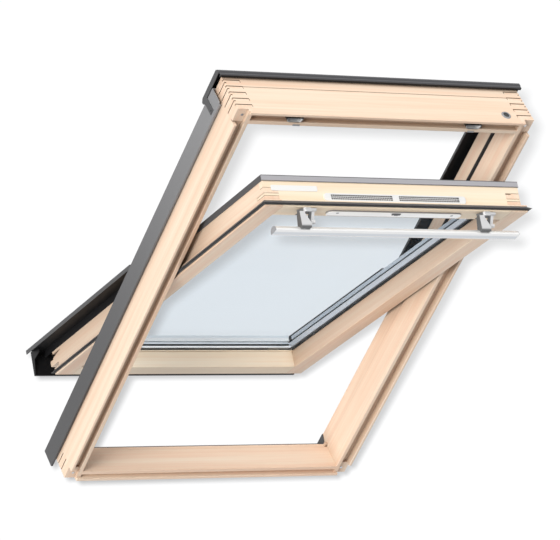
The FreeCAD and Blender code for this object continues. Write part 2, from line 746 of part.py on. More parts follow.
# Sash covers
def lower_cover_left():
    """Channel on the lower half of the sash that laps the left jamb and rests on the seal."""
    outer, skirt, inner = -COVER_HALF_WIDTH, -SASH_BODY_HALF, -SIGHT_HALF_X
    points = [
        (outer, COVER_TOP - COVER_FLANGE),
        (outer + SHEET, COVER_TOP - COVER_FLANGE),
        (outer + SHEET, COVER_UNDERSIDE),
        (skirt - SHEET, COVER_UNDERSIDE),
        (skirt - SHEET, SASH_OUTER_FACE - CLADDING_LAP),
        (skirt, SASH_OUTER_FACE - CLADDING_LAP),
        (skirt, COVER_UNDERSIDE),
        (inner - SHEET, COVER_UNDERSIDE),
        (inner - SHEET, CLADDING_UNDERSIDE),
        (inner, CLADDING_UNDERSIDE),
        (inner, COVER_TOP),
        (outer, COVER_TOP),
    ]
    return bar_up(points, -BOTTOM_COVER_REACH + LOWER_COVER_SHORT, -COVER_PIVOT_GAP)


def side_cladding_sash_left():
    """Sheet over the upper half of the sash's left rail."""
    skirt = -SASH_BODY_HALF
    points = [
        (skirt - SHEET, SASH_OUTER_FACE - CLADDING_LAP),
        (skirt, SASH_OUTER_FACE - CLADDING_LAP),
        (skirt, CLADDING_UNDERSIDE),
        (-SIGHT_HALF_X, CLADDING_UNDERSIDE),
        (-SIGHT_HALF_X, CLADDING_TOP),
        (skirt - SHEET, CLADDING_TOP),
    ]
    return bar_up(points, -COVER_PIVOT_GAP + FIT_GAP, SIGHT_HALF_Z - FIT_GAP)


def top_cladding():
    """Sheet over the top rail, turned down over its upper side and both ends."""
    half = SASH_BODY_HALF + SHEET
    high = SASH_BODY_TOP + SHEET
    near = SASH_OUTER_FACE - CLADDING_LAP
    sheet = box(-half, half, CLADDING_UNDERSIDE, CLADDING_TOP, SIGHT_HALF_Z, high)
    skirt = box(-half, half, near, CLADDING_TOP, SASH_BODY_TOP, high)
    hem = box(-half, half, near, near + SHEET, SASH_BODY_TOP, high + SHEET / 2)
    end = box(-half, -SASH_BODY_HALF, near, CLADDING_TOP, SIGHT_HALF_Z, high)
    return fused([sheet, skirt, hem] + both(end))


def bottom_cover():
    """Cover below the bottom rail, with a deep flange that laps the frame's sill."""
    half, low = COVER_HALF_WIDTH - BOTTOM_COVER_INSET, -BOTTOM_COVER_REACH
    top = COVER_TOP + SHEET
    flange_edge = top - BOTTOM_COVER_FLANGE
    points = [
        (top, -SIGHT_HALF_Z),
        (COVER_TOP, -SIGHT_HALF_Z),
        (COVER_TOP, low + SHEET),
        (flange_edge + SHEET, low + SHEET),
        (flange_edge + SHEET, low + COVER_HEM),
        (flange_edge, low + COVER_HEM),
        (flange_edge, low),
        (top, low),
    ]
    shelf = low + LOWER_COVER_SHORT - FIT_GAP
    under = COVER_UNDERSIDE - FIT_GAP
    end_plate = [
        (COVER_TOP, low + SHEET),
        (COVER_TOP, shelf),
        (under, shelf),
        (under, low + 3 * LOWER_COVER_SHORT),
        (under - COVER_FLANGE, low + 3 * LOWER_COVER_SHORT),
        (under - 2 * COVER_FLANGE, shelf),
        (flange_edge + SHEET, low + COVER_HEM),
        (flange_edge + SHEET, low + SHEET),
    ]
    ends = both(bar_across(end_plate, -half, -half + SHEET))
    reach = SIGHT_HALF_X - FIT_GAP
    lip = box(-reach, reach, CLADDING_UNDERSIDE, top, -SIGHT_HALF_Z - SHEET, -SIGHT_HALF_Z)
    return fused([bar_across(points, -half, half), lip] + ends)


# Furniture
def control_bar():
    """Control bar, flat towards the room and round behind."""
    half = SASH_HALF - BAR_MARGIN
    low = V(-half, BAR_FLAT, BAR_HEIGHT - BAR_HALF_WIDTH)
    high = V(-half, BAR_FLAT, BAR_HEIGHT + BAR_HALF_WIDTH)
    back = V(-half, BAR_FLAT + BAR_DEPTH, BAR_HEIGHT)
    edges = [Part.Arc(low, back, high).toShape(), Part.LineSegment(high, low).toShape()]
    bar = Part.Face(Part.Wire(edges)).extrude(V(2 * half, 0, 0))
    bar = bar.makeFillet(BAR_END_EASE, bar.Edges)
    bar.rotate(V(0, BAR_FLAT, BAR_HEIGHT), V(1, 0, 0), -BAR_TILT)
    return bar


def bracket(centre, bar):
    """Cast bracket that carries the control bar, with its release lever."""
    left = centre - BRACKET_WIDTH / 2
    face, base = SASH_ROOM_FACE, SASH_ROOM_FACE - BRACKET_BASE
    low, high = BAR_HEIGHT + BRACKET_RISE, SASH_TOP - EDGE_ROUNDING
    right = left + BRACKET_BASE_WIDTH
    block = plate([(left, low), (right, low), (right, high), (left + BRACKET_BASE_SLANT, high)],
                  base, face, END_ROUNDING)
    leg, foot = left + BRACKET_LEG_WIDTH, left + BRACKET_FOOT_WIDTH
    front = BAR_FLAT + BRACKET_FOOT_REACH
    shoulder = front + BRACKET_FOOT_THICKNESS
    top = low + BRACKET_LEG_RISE
    profile = [(left, base + END_ROUNDING), (left, front), (foot, front), (foot, shoulder),
               (leg, shoulder + BRACKET_WEB), (leg, base + END_ROUNDING)]
    arm = tile(profile, low - BRACKET_RISE, top, END_ROUNDING)
    slope = bar_across([(base, low), (front, low - BRACKET_RISE), (base, low - BRACKET_RISE)],
                       left - OVERCUT, foot + OVERCUT)
    nose = bar_across([(front, top), (front + BRACKET_RISE, top), (front, top - BRACKET_RISE / 2)],
                      left - OVERCUT, foot + OVERCUT)
    arm = cut_all(arm, [slope, nose, bar])
    start = left + LEVER_START
    end = start + LEVER_WIDTH
    hinge = (face - LEVER_HINGE_OUT, SASH_TOP - LEVER_HINGE_DROP)
    knob = (hinge[0] - LEVER_REACH, hinge[1] - LEVER_FALL)
    half = LEVER_STEM / 2
    stem = [(hinge[0] - half, hinge[1]), (knob[0] - half, knob[1]),
            (knob[0] + half, knob[1]), (hinge[0] + half, hinge[1])]
    return fused([
        block,
        arm,
        rod(V(start - HINGE_OVERHANG, *hinge), V(end + KNOB_OVERHANG, *hinge), LEVER_RADIUS),
        bar_across(stem, start, end),
        rod(V(start, *knob), V(end + KNOB_OVERHANG, *knob), KNOB_RADIUS),
    ])


def lock_case():
    """Flat case of the lock on the room side of the top rail, with round ends."""
    half = SASH_HALF - LOCK_MARGIN
    low = BAR_HEIGHT - LOCK_WIDTH / 2
    points = rectangle(-half, half, low, low + LOCK_WIDTH)
    round_end = LOCK_WIDTH / 2 - FIT_GAP
    return plate(points, SASH_ROOM_FACE - LOCK_THICKNESS, SASH_ROOM_FACE, round_end)


def vent_grille():
    """Ventilation grille on top of the sash: two windows with slats."""
    low, high = SASH_BODY_TOP, SASH_BODY_TOP + GRILLE_HEIGHT
    far = GRILLE_NEAR + GRILLE_WIDTH
    half = SASH_HALF - GRILLE_MARGIN
    body = tile(rectangle(-half, half, GRILLE_NEAR, far), low, high, GRILLE_CORNER)
    near_edge, far_edge = GRILLE_NEAR + GRILLE_EDGE, far - GRILLE_EDGE
    window = tile(rectangle(GRILLE_BRIDGE / 2, half - GRILLE_END, near_edge, far_edge),
                  low + OVERCUT, high + OVERCUT, EDGE_ROUNDING)
    body = cut_all(body, both(window))
    opening = far_edge - near_edge
    slats = []
    reach, side = half - GRILLE_CORNER, SLAT_WIDTH / 2
    for i in range(1, SLAT_COUNT + 1):
        y = near_edge + opening * i / (SLAT_COUNT + 1)
        slats += [box(-reach, reach, y - side, y + side, low, high - OVERCUT / 2)]
    return fused([body] + slats)


def label_plate():
    """Blank plate on the top rail."""
    centre = -SASH_HALF + PLATE_INSET
    half, side = PLATE_LENGTH / 2, PLATE_WIDTH / 2
    points = rectangle(centre - half, centre + half, PLATE_MIDDLE - side, PLATE_MIDDLE + side)
    return tile(points, SASH_BODY_TOP, SASH_BODY_TOP + PLATE_THICKNESS, PLATE_CORNER)


def striker(centre):
    """Striker cup in the head's groove, open towards the room, with round lower corners."""
    half = STRIKER_LENGTH / 2
    low = HEAD_UNDERSIDE + INNER_STRIP_WIDTH + FIT_GAP
    high = low + STRIKER_HEIGHT
    full = plate(rectangle(centre - half, centre + half, low, high + STRIKER_CORNER),
                 -STRIKER_PROUD, GROOVE_DEPTH, STRIKER_CORNER)
    wall = STRIKER_WALL
    inside = rectangle(centre - half + wall, centre + half - wall, low + wall, high + STRIKER_CORNER)
    hollow = plate(inside, -STRIKER_PROUD - OVERCUT, GROOVE_DEPTH - wall, STRIKER_CORNER - wall)
    waste = box(centre - half, centre + half, -STRIKER_PROUD - OVERCUT, GROOVE_DEPTH + OVERCUT,
                high, high + 2 * STRIKER_CORNER)
    roof = box(centre - half, centre + half, -STRIKER_PROUD, GROOVE_DEPTH, high - wall, high)
    return fused([full.cut(hollow).cut(waste), roof])


def ring_plug():
    """Ring plug on top of the head, dished in the middle."""
    centre = V(HALF_WIDTH - PLUG_INSET, PLUG_DEPTH, FRAME_HEIGHT)
    ring = Part.makeCone(PLUG_RADIUS, PLUG_RADIUS - PLUG_HEIGHT, PLUG_HEIGHT, centre)
    return ring.cut(Part.makeCylinder(PLUG_BORE, PLUG_HEIGHT, centre + V(0, 0, PLUG_FLOOR)))


def corner_screws():
    """Screw heads in the four corner blocks."""
    heads = []
    for x in (-HALF_WIDTH + SCREW_EDGE, HALF_WIDTH - SCREW_EDGE):
        for z in (SCREW_EDGE, FRAME_HEIGHT - SCREW_EDGE):
            heads += [Part.makeCylinder(SCREW_RADIUS, SCREW_HEIGHT, V(x, 0, z), V(0, -1, 0))]
    return Part.makeCompound(heads)


# Pivots
def pivot_frame_left():
    """Frame half of the left pivot: a plate on the jamb with its bearing pin."""
    face = -INNER_HALF + STOP_RISE
    half = PIVOT_PLATE_LENGTH / 2
    side = PIVOT_PLATE_WIDTH / 2
    high = PIVOT_HEIGHT + half
    points = rectangle(PIVOT_DEPTH - side, PIVOT_DEPTH + side, PIVOT_HEIGHT, high)
    body = bar_across(points, face, face + PIVOT_PLATE_THICKNESS, EDGE_ROUNDING)
    end = -SASH_BODY_HALF - PIVOT_PLATE_THICKNESS - FIT_GAP
    pin_height = PIVOT_HEIGHT + PIVOT_PIN_RADIUS + EDGE_ROUNDING
    pin = rod(V(face, PIVOT_DEPTH, pin_height), V(end, PIVOT_DEPTH, pin_height), PIVOT_PIN_RADIUS)
    return fused([body, pin])


def pivot_sash_left():
    """Sash half of the left pivot: a plate on the rail."""
    half = PIVOT_PLATE_LENGTH / 2
    near = -PIVOT_PLATE_WIDTH / 2
    points = rectangle(near, near + PIVOT_PLATE_WIDTH * 3 / 4, -half, half)
    face = -SASH_BODY_HALF
    return bar_across(points, face - PIVOT_PLATE_THICKNESS, face, EDGE_ROUNDING)


def save(name, shape):
    """Write one piece as a STEP file."""
    shape.exportStep(os.path.join("parts", name + ".step"))


def main():
    """Build every piece and write it."""
    os.makedirs("parts", exist_ok=True)
    pairs = {
        "frame_jamb": jamb_left(),
        "jamb_gasket": jamb_gasket_left(),
        "side_cladding": side_cladding_left(),
        "upper_cover": upper_cover_left(),
        "pivot_frame_plate": pivot_frame_left(),
        "sash_side_rail": opened(sash_side_left()),
        "lower_cover": opened(lower_cover_left()),
        "sash_side_cladding": opened(side_cladding_sash_left()),
        "pivot_sash_plate": opened(pivot_sash_left()),
    }
    for name, shape in pairs.items():
        save(name + "_left", shape)
        save(name + "_right", mirrored(shape))
    bar = control_bar()
    singles = {
        "frame_head": head(),
        "frame_sill": sill(),
        "head_hood": hood(),
        "sill_cladding": sill_cladding(),
        "ring_plug": ring_plug(),
        "corner_screws": corner_screws(),
        "striker_left": striker(-HALF_WIDTH + STRIKER_LEFT_INSET),
        "striker_right": striker(HALF_WIDTH - STRIKER_RIGHT_INSET),
        "sash_top_rail": opened(sash_top_rail()),
        "sash_bottom_rail": opened(sash_bottom_rail()),
        "sash_gasket": opened(sash_gasket()),
        "glazing_seal_room": opened(room_seal()),
        "glazing_seal_outer": opened(outer_seal()),
        "inner_pane": opened(pane(GLASS_ROOM_FACE)),
        "outer_pane": opened(pane(GLASS_OUTER_FACE - PANE_THICKNESS)),
        "glass_spacer": opened(spacer()),
        "top_cladding": opened(top_cladding()),
        "bottom_cover": opened(bottom_cover()),
        "control_bar": opened(bar),
        "bar_bracket_left": opened(bracket(-BRACKET_CENTRE, bar)),
        "bar_bracket_right": opened(bracket(BRACKET_CENTRE, bar)),
        "lock_case": opened(lock_case()),
        "vent_grille": opened(vent_grille()),
        "label_plate": opened(label_plate()),
    }
    for name, shape in singles.items():
        save(name, shape)


main()
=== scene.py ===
"""Looks of a timber centre pivot roof window, standing open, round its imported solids."""

import logging
import math
from dataclasses import dataclass
from enum import Enum
from typing import Any, Union

import bmesh
import bpy
from mathutils import Matrix, Vector


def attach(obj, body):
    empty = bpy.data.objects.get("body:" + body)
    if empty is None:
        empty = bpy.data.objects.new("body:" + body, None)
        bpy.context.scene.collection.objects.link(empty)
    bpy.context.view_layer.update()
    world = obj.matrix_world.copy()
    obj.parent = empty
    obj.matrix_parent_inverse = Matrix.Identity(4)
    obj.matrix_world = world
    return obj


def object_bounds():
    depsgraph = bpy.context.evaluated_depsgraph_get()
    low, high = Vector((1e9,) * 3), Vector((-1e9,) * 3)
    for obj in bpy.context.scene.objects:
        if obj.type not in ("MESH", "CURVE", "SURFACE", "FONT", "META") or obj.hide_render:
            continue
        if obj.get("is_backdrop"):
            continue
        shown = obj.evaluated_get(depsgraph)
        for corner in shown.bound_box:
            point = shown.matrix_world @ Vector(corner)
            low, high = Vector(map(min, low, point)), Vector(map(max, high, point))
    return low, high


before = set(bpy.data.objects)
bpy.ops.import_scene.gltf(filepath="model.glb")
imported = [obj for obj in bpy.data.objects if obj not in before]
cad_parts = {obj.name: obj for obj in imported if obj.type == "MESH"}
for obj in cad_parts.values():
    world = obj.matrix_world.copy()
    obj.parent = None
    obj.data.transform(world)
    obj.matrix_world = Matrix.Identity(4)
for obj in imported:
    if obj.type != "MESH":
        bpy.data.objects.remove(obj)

LOG = logging.getLogger("roof_window")
ROOT = "root"
MM = 0.001
Colour = tuple[float, float, float]
Span = tuple[float, float]
Corner = tuple[float, float, float]

PIVOT = Vector((0.0, 0.091, 0.588))
OPENING = math.radians(24.55)
OPENED = Matrix.Translation(PIVOT) @ Matrix.Rotation(OPENING, 4, "X")


class Carrier(Enum):
    """What a piece is built on: the upright frame, or the sash that stands open."""

    FRAME = "frame"
    SASH = "sash"

    @property
    def turn(self) -> float:
        """Angle about X that brings the carrier upright, in radians."""
        return -OPENING if self is Carrier.SASH else 0.0

    @property
    def shift(self) -> Vector:
        """Added after the turn, so that the sash is measured from its pivot."""
        if self is Carrier.FRAME:
            return Vector((0.0, 0.0, 0.0))
        return -(Matrix.Rotation(-OPENING, 3, "X") @ PIVOT)

    @property
    def placing(self) -> Matrix:
        """Matrix from the carrier's own coordinates to the model's."""
        return OPENED if self is Carrier.SASH else Matrix.Identity(4)


# Shader building

class Signal:
    """A node's output that takes part in arithmetic and adds the Math nodes it needs."""

    def __init__(self, shader: "Shader", socket: bpy.types.NodeSocket) -> None:
        """Wrap one output socket of a shader."""
        self.shader = shader
        self.socket = socket

    def _with(self, operation: str, first: "Number", second: "Number") -> "Signal":
        """Join two numbers by one Math node."""
        return self.shader.add("ShaderNodeMath", {"operation": operation}, {0: first, 1: second})

    def __add__(self, other: "Number") -> "Signal":
        """Sum of the two."""
        return self._with("ADD", self, other)

    def __radd__(self, other: "Number") -> "Signal":
        """Sum with a plain number first."""
        return self._with("ADD", other, self)

    def __sub__(self, other: "Number") -> "Signal":
        """Difference of the two."""
        return self._with("SUBTRACT", self, other)

    def __rsub__(self, other: "Number") -> "Signal":
        """Difference from a plain number."""
        return self._with("SUBTRACT", other, self)

    def __mul__(self, other: "Number") -> "Signal":
        """Product of the two."""
        return self._with("MULTIPLY", self, other)

    def __rmul__(self, other: "Number") -> "Signal":
        """Product with a plain number first."""
        return self._with("MULTIPLY", other, self)

    def __pow__(self, other: "Number") -> "Signal":
        """Power of the signal."""
        return self._with("POWER", self, other)

    def __abs__(self) -> "Signal":
        """Size of the signal without its sign."""
        return self.shader.add("ShaderNodeMath", {"operation": "ABSOLUTE"}, {0: self})

    def above(self, limit: float, blend: float) -> "Signal":
        """A mask that rises smoothly from 0 to 1 as the signal passes a limit."""
        return self.shader.add(
            "ShaderNodeMapRange",
            {"interpolation_type": "SMOOTHSTEP"},
            {"Value": self, "From Min": limit - blend, "From Max": limit + blend},
        )

    def within(self, span: Span, blend: float) -> "Signal":
        """A mask that is 1 between two limits."""
        return self.above(span[0], blend) * (1.0 - self.above(span[1], blend))


Number = Union[float, Signal]


class Shader:
    """The nodes of one material."""

    def __init__(self, name: str) -> None:
        """Start a material that holds nothing but its output."""
        self.material = bpy.data.materials.new(name)
        self.material.use_nodes = True
        self.tree = self.material.node_tree
        self.tree.nodes.clear()
        self.output = self.tree.nodes.new("ShaderNodeOutputMaterial")

    def add(
        self,
        kind: str,
        settings: dict[str, Any] | None = None,
        inputs: dict[Any, Any] | None = None,
        result: int | str = 0,
    ) -> Signal:
        """Add a node.

        Args:
            kind: Blender's name of the node's type.
            settings: Properties, which are set first.
            inputs: Socket names or numbers, each with a value or a signal.
            result: The output that is wanted.

        Returns:
            That output as a signal.
        """
        node = self.tree.nodes.new(kind)
        for name, value in (settings or {}).items():
            setattr(node, name, value)
        for name, value in (inputs or {}).items():
            if isinstance(value, Signal):
                self.tree.links.new(value.socket, node.inputs[name])
            else:
                node.inputs[name].default_value = value
        return Signal(self, node.outputs[result])

    def mix(self, share: Number, first: Any, second: Any) -> Signal:
        """Mix two colours.

        Args:
            share: How much of the second shows, from 0 to 1.
            first: A colour or signal.
            second: A colour or signal.

        Returns:
            The mixed colour.
        """
        colours = [c if isinstance(c, Signal) else (*c, 1.0) for c in (first, second)]
        return self.add(
            "ShaderNodeMix",
            {"data_type": "RGBA"},
            {0: share, 6: colours[0], 7: colours[1]},
            2,
        )

    def place(self, carrier: Carrier) -> Signal:
        """Position in metres, measured on the carrier."""
        where = self.add("ShaderNodeTexCoord", result="Object")
        return self.add(
            "ShaderNodeMapping",
            {"vector_type": "POINT"},
            {"Vector": where, "Rotation": (carrier.turn, 0.0, 0.0), "Location": carrier.shift},
        )

    def moved(self, vector: Signal, shift: tuple[float, float, float]) -> Signal:
        """Add to a vector, so that like pieces differ."""
        return self.add("ShaderNodeVectorMath", {"operation": "ADD"}, {0: vector, 1: shift})

    def scaled(self, vector: Signal, factors: tuple[float, float, float]) -> Signal:
        """Stretch a vector along its three axes."""
        return self.add("ShaderNodeVectorMath", {"operation": "MULTIPLY"}, {0: vector, 1: factors})

    def axes(self, vector: Signal) -> tuple[Signal, Signal, Signal]:
        """The three parts of a vector."""
        first = self.add("ShaderNodeSeparateXYZ", inputs={0: vector})
        outputs = first.socket.node.outputs
        return first, Signal(self, outputs["Y"]), Signal(self, outputs["Z"])

    def noise(self, vector: Signal, scale: float, detail: float = 2.0, roughness: float = 0.5) -> Signal:
        """Smooth noise from 0 to 1 round 0.5."""
        return self.add(
            "ShaderNodeTexNoise",
            {"noise_dimensions": "3D"},
            {"Vector": vector, "Scale": scale, "Detail": detail, "Roughness": roughness},
        )

    def bump(self, height: Number, strength: float, distance: float) -> Signal:
        """Surface normal with a relief."""
        return self.add(
            "ShaderNodeBump",
            inputs={"Height": height, "Strength": strength, "Distance": distance},
        )

    def surface(self, sockets: dict[str, Any]) -> bpy.types.Material:
        """Finish the material with one Principled BSDF.

        Args:
            sockets: Its sockets, each with a value or a signal.

        Returns:
            The material.
        """
        closed = self.add("ShaderNodeBsdfPrincipled", inputs=sockets)
        self.tree.links.new(closed.socket, self.output.inputs["Surface"])
        return self.material


@dataclass(frozen=True)
class Zone:
    """A stretch of a piece that has a colour of its own, between limits in millimetres."""

    colour: Colour
    across: Span | None = None
    through: Span | None = None
    up: Span | None = None
    blend: float = 0.2

    def mask(self, shader: Shader, where: Signal) -> Signal:
        """Where the colour shows.

        Args:
            shader: The material that is being built.
            where: Position on the carrier. Across is the distance from the window's middle line.

        Returns:
            A mask from 0 to 1.
        """
        x, y, z = shader.axes(where)
        mask: Number = 1.0
        for axis, span in ((abs(x), self.across), (y, self.through), (z, self.up)):
            if span is not None:
                limits = (span[0] * MM, span[1] * MM)
                mask = axis.within(limits, self.blend * MM) * mask
        return mask


Zones = tuple[Zone, ...]


def painted(shader: Shader, colour: Signal, where: Signal, zones: Zones) -> Signal:
    """Lay the colours of zones over a colour, the last on top."""
    for zone in zones:
        colour = shader.mix(zone.mask(shader, where), colour, zone.colour)
    return colour


# Finishes

class Run(Enum):
    """Direction of a timber's grain."""

    ACROSS = "across the window"
    UP = "up the slope"


@dataclass(frozen=True)
class Pine:
    """Clear lacquered pine with straight streaks and growth rings along the member."""

    name: str
    run: Run
    carrier: Carrier = Carrier.FRAME
    shift: tuple[float, float, float] = (0.0, 0.0, 0.0)
    zones: Zones = ()
    cream: Colour = (0.920, 0.750, 0.595)
    rosy: Colour = (0.880, 0.615, 0.450)
    amber: Colour = (0.700, 0.475, 0.300)
    shade: Colour = (0.260, 0.170, 0.105)
    shade_reach: float = 0.050
    shade_depth: float = 0.35
    stretch: float = 0.02
    ring_spacing: float = 0.0058
    ring_lean: float = 0.55
    ring_sway: float = 0.030
    late_share: float = 0.16
    streak_limit: float = 0.875
    streak_blend: float = 0.30

    def material(self) -> bpy.types.Material:
        """Build the finish, with painted shade where the wood lies in a corner or a groove."""
        shader = Shader(self.name)
        where = shader.place(self.carrier)
        along = (self.stretch, 1.0, 1.0) if self.run is Run.ACROSS else (1.0, 1.0, self.stretch)
        stretched = shader.scaled(shader.moved(where, self.shift), along)
        x, deep, z = shader.axes(stretched)
        cross = z if self.run is Run.ACROSS else x
        sway = shader.noise(stretched, 16.0, 2.0)
        tilt = cross + deep * self.ring_lean + sway * self.ring_sway
        ring = shader.add("ShaderNodeMath", {"operation": "PINGPONG"}, {0: tilt, 1: self.ring_spacing})
        late = (ring * (1.0 / self.ring_spacing)).above(0.72, 0.28)
        broad = shader.noise(stretched, 52.0, 2.0)
        narrow = shader.noise(stretched, 170.0, 3.0, 0.6)
        fibre = shader.noise(stretched, 900.0, 3.0, 0.6)
        mingled = broad * 0.9 + narrow * 0.6 + fibre * 0.25
        streaks = mingled.above(self.streak_limit, self.streak_blend)
        colour = shader.mix(streaks, self.cream, self.rosy)
        colour = shader.mix(late * self.late_share * narrow, colour, self.amber)
        colour = painted(shader, colour, where, self.zones)
        # Painted shade: ambient occlusion darkens the colour towards the shade colour in corners and
        # grooves.
        open_air = shader.add(
            "ShaderNodeAmbientOcclusion", {"samples": 8}, {"Distance": self.shade_reach}, "AO")
        painted_shade_share = (1.0 - open_air) * self.shade_depth
        return shader.surface(
            {
                "Base Color": shader.mix(painted_shade_share, colour, self.shade),
                "Roughness": 0.40 + fibre * 0.14,
                "Normal": shader.bump(fibre * 0.7 + late * 0.4, 0.15, 0.0004),
                "Specular IOR Level": 0.35,
            }
        )


@dataclass(frozen=True)
class CoatedSheet:
    """Grey coated sheet metal with a fine orange peel, darker inside."""

    name: str
    carrier: Carrier = Carrier.FRAME
    zones: Zones = ()
    colour: Colour = (0.085, 0.085, 0.088)

    def material(self) -> bpy.types.Material:
        """Build the finish."""
        shader = Shader(self.name)
        where = shader.place(self.carrier)
        peel = shader.noise(where, 900.0, 2.0)
        cloud = shader.noise(where, 5.0, 3.0)
        lighter = tuple(channel * 1.10 for channel in self.colour)
        colour = shader.mix(cloud, self.colour, lighter)
        return shader.surface(
            {
                "Base Color": painted(shader, colour, where, self.zones),
                "Roughness": 0.46 + cloud * 0.12,
                "Normal": shader.bump(peel, 0.10, 0.0003),
                "Specular IOR Level": 0.20,
            }
        )


@dataclass(frozen=True)
class Rubber:
    """Matt rubber with fine grain and a little dust."""

    name: str
    carrier: Carrier = Carrier.FRAME
    colour: Colour = (0.014, 0.014, 0.015)
    dusty: Colour = (0.036, 0.036, 0.038)
    zones: Zones = ()

    def material(self) -> bpy.types.Material:
        """Build the finish."""
        shader = Shader(self.name)
        where = shader.place(self.carrier)
        grain = shader.noise(where, 1400.0, 2.0)
        dust = shader.noise(where, 30.0, 3.0)
        colour = shader.mix(dust, self.colour, self.dusty)
        return shader.surface(
            {
                "Base Color": painted(shader, colour, where, self.zones),
                "Roughness": 0.50 + dust * 0.2,
                "Normal": shader.bump(grain, 0.12, 0.0003),
                "Specular IOR Level": 0.30,
            }
        )


@dataclass(frozen=True)
class Glass:
    """Clear glass with a cold cast that deepens a little towards the sill."""

    name: str
    tint: Colour = (0.968, 0.9815, 0.992)
    sheen: Colour = (0.05, 0.10, 0.15)
    cover: float = 0.032
    low_cover: float = 0.012
    low_edge: float = -0.405

    def material(self) -> bpy.types.Material:
        """Build the finish: a clear sheet under a faint reflecting film."""
        shader = Shader(self.name)
        where = shader.place(Carrier.SASH)
        _, _, up = shader.axes(where)
        ripple = shader.noise(where, 2.2, 2.0)
        low = 1.0 - up.above(self.low_edge, 0.002)
        clear = shader.add("ShaderNodeBsdfTransparent", inputs={"Color": (*self.tint, 1.0)})
        film = shader.add(
            "ShaderNodeBsdfPrincipled",
            inputs={"Base Color": (*self.sheen, 1.0), "Roughness": 0.02, "IOR": 1.45})
        cover = self.cover + ripple * 0.006 + low * self.low_cover
        both = shader.add("ShaderNodeMixShader", inputs={0: cover, 1: clear, 2: film})
        shader.tree.links.new(both.socket, shader.output.inputs["Surface"])
        return shader.material


@dataclass(frozen=True)
class Metal:
    """Bare or anodised metal with fine brushing."""

    name: str
    colour: Colour
    roughness: float
    carrier: Carrier = Carrier.SASH
    brushing: tuple[float, float, float] = (1.0, 1.0, 1.0)
    metallic: float = 1.0
    zones: Zones = ()

    def material(self) -> bpy.types.Material:
        """Build the finish."""
        shader = Shader(self.name)
        where = shader.place(self.carrier)
        brushed = shader.scaled(where, self.brushing)
        lines = shader.noise(brushed, 1600.0, 2.0)
        cloud = shader.noise(brushed, 12.0, 2.0)
        darker = tuple(channel * 0.92 for channel in self.colour)
        colour = shader.mix(cloud, darker, self.colour)
        return shader.surface(
            {
                "Base Color": painted(shader, colour, where, self.zones),
                "Metallic": self.metallic,
                "Roughness": self.roughness + lines * 0.08,
                "Normal": shader.bump(lines, 0.08, 0.0002),
            }
        )


@dataclass(frozen=True)
class Plastic:
    """Moulded plastic with a faint texture."""

    name: str
    colour: Colour
    roughness: float = 0.35
    carrier: Carrier = Carrier.SASH
    zones: Zones = ()

    def material(self) -> bpy.types.Material:
        """Build the finish."""
        shader = Shader(self.name)
        where = shader.place(self.carrier)
        texture = shader.noise(where, 2200.0, 1.0)
        cloud = shader.noise(where, 20.0, 2.0)
        darker = tuple(channel * 0.94 for channel in self.colour)
        colour = shader.mix(cloud, darker, self.colour)
        return shader.surface(
            {
                "Base Color": painted(shader, colour, where, self.zones),
                "Roughness": self.roughness + cloud * 0.1,
                "Normal": shader.bump(texture, 0.06, 0.0002),
            }
        )


def dress(node: str, material: bpy.types.Material) -> None:
    """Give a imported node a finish, over its whole surface."""
    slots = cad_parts[node].data.materials
    if len(slots) == 0:
        slots.append(material)
    for index in range(len(slots)):
        slots[index] = material


def pair(name: str) -> tuple[str, str]:
    """Names of a left and right node."""
    return name + "_left", name + "_right"


# New pieces

class Piece:
    """A small part that is modelled here, in millimetres on its carrier."""

    def __init__(self, name: str, carrier: Carrier, slot: str) -> None:
        """Start an empty piece."""
        self.name = name
        self.carrier = carrier
        self.slot = slot
        self.mesh = bmesh.new()

    def block(self, low: Corner, high: Corner, ease: float, slant: float = 0.0) -> None:
        """Add a block with eased edges.

        Args:
            low: Its lowest corner.
            high: Its highest corner.
            ease: Width of the eased edges.
            slant: Turn about the upright axis, in degrees.
        """
        size = [b - a for a, b in zip(low, high)]
        middle = [(a + b) / 2 for a, b in zip(low, high)]
        turn = Matrix.Rotation(math.radians(slant), 4, "Z")
        placing = Matrix.Translation(middle) @ turn @ Matrix.Diagonal((*size, 1.0))
        made = bmesh.ops.create_cube(self.mesh, size=1.0, matrix=placing)["verts"]
        self._ease(list({edge for vertex in made for edge in vertex.link_edges}), ease, 2)

    def disc(self, centre: Corner, radius: float, height: float) -> None:
        """Add a low disc with an eased rim that stands on a face towards the room.

        Args:
            centre: Middle of the face it stands on.
            radius: Its radius.
            height: Its height.
        """
        turn = Matrix.Rotation(math.pi / 2, 4, "X")
        placing = Matrix.Translation(centre) @ turn @ Matrix.Translation((0, 0, height / 2))
        made = bmesh.ops.create_cone(
            self.mesh, cap_ends=True, segments=24, radius1=radius, radius2=radius * 0.86,
            depth=height, matrix=placing)["verts"]
        edges = {edge for vertex in made for edge in vertex.link_edges}
        rims = [edge for edge in edges if any(len(face.verts) > 4 for face in edge.link_faces)]
        self._ease(rims, height * 0.25, 2)

    def _ease(self, edges: list[bmesh.types.BMEdge], width: float, segments: int) -> None:
        """Round edges off."""
        bmesh.ops.bevel(
            self.mesh, geom=edges, offset=width, segments=segments, profile=0.5,
            affect="EDGES", material=-1, clamp_overlap=True)

    def finish(self, material: bpy.types.Material) -> None:
        """Make the object, place it and let it ride on the window."""
        bmesh.ops.scale(self.mesh, vec=(MM, MM, MM), verts=self.mesh.verts)
        bmesh.ops.transform(self.mesh, matrix=self.carrier.placing, verts=self.mesh.verts)
        bmesh.ops.recalc_face_normals(self.mesh, faces=self.mesh.faces)
        data = bpy.data.meshes.new(self.name)
        self.mesh.to_mesh(data)
        self.mesh.free()
        data.materials.append(material)
        holder = bpy.data.objects.new(self.name, data)
        bpy.context.scene.collection.objects.link(holder)
        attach(holder, ROOT)
        LOG.info("made %s", self.name)


# Sub-assemblies

